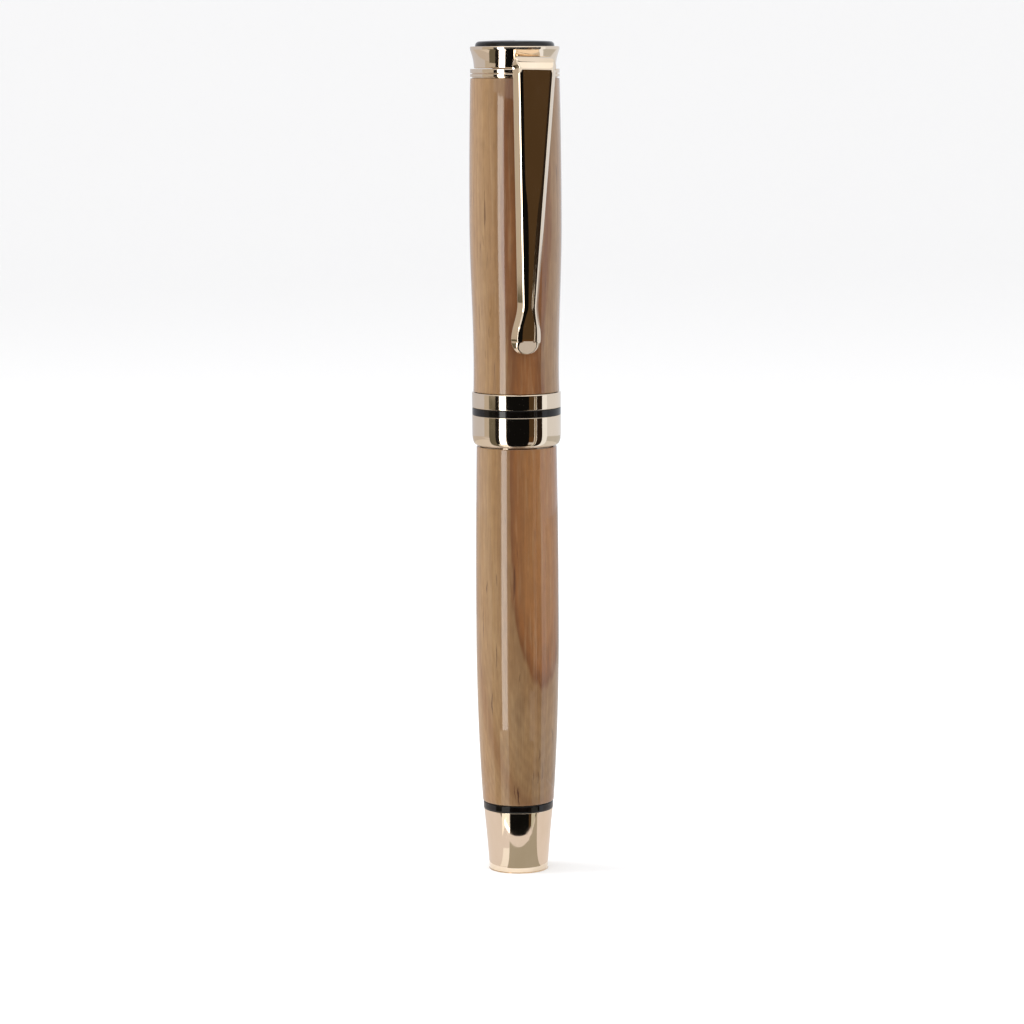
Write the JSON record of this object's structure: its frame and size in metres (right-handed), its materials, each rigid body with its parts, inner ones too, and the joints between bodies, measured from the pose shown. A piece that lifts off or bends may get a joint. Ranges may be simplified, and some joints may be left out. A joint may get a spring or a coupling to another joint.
{
  "type": "rollerball pen",
  "caption": "Capped rollerball pen with turned wooden barrel and cap, gold fittings, black accent rings, a flexing pocket clip and a spring-loaded refill.",
  "frame": {"origin": "centre of the flat end face of the tail, on the pen's axis", "axes": "+Z along the pen's axis from the tail to the finial; the pocket clip is on the -Y side"},
  "size_m": [0.0154, 0.0179, 0.14],
  "materials": {
    "gold": "polished champagne-gold plating",
    "black_gloss": "gloss black",
    "wood": "figured wood under a clear gloss coat",
    "brass": "drawn brass tube",
    "steel": "bright steel",
    "black_plastic": "moulded black plastic",
    "ink_fibre": "fibre soaked with ink",
    "ball": "polished tungsten carbide"
  },
  "bodies": {
    "barrel": {"end_cap": "gold", "tail_ring": "black_gloss", "tail_bush": "brass", "barrel_tube": "brass", "barrel_wood": "wood", "barrel_coupler": "gold", "refill_spring": "steel"},
    "section_ring": {"section_ring": "gold"},
    "section": {"section_core": "gold", "section_grip": "black_gloss", "section_nose": "gold"},
    "refill": {"refill_body": "steel", "refill_plug": "black_plastic", "ink_reservoir": "ink_fibre", "ink_feed": "ink_fibre", "refill_nose": "black_plastic", "refill_tip": "steel", "refill_ball": "ball"},
    "cap_liner": {"cap_liner": "black_plastic"},
    "cap": {"cap_tube": "brass", "cap_wood": "wood", "cap_coupler": "brass", "band_lower": "gold", "band_black": "black_gloss", "band_upper": "gold", "cap_bush": "gold", "clip_ring": "gold", "finial": "gold", "finial_disc": "black_gloss"},
    "clip": {"clip_arm": "gold"}
  },
  "joints": [
    {"name": "section_lift", "type": "slide", "parent": "barrel", "child": "section_ring", "axis": [0, 0, 1], "range_m": [0, 0.07]},
    {"name": "section_turn", "type": "hinge", "parent": "section_ring", "child": "section", "pos_m": [0, 0, 0.0741], "axis": [0, 0, 1], "continuous": true},
    {"name": "refill_push", "type": "slide", "parent": "section", "child": "refill", "axis": [0, 0, 1], "range_m": [-0.0015, 0], "stiffness_N_per_m": 200, "springref_m": 0.004, "deforming": ["refill_spring"]},
    {"name": "cap_lift", "type": "slide", "parent": "section", "child": "cap_liner", "axis": [0, 0, 1], "range_m": [0, 0.055]},
    {"name": "cap_turn", "type": "hinge", "parent": "cap_liner", "child": "cap", "pos_m": [0, 0, 0.115], "axis": [0, 0, 1], "continuous": true},
    {"name": "clip_flex", "type": "hinge", "parent": "cap", "child": "clip", "pos_m": [0, -0.00865, 0.1373], "axis": [-1, 0, 0], "range_deg": [0, 3], "stiffness_Nm_per_rad": 3.2}
  ]
}
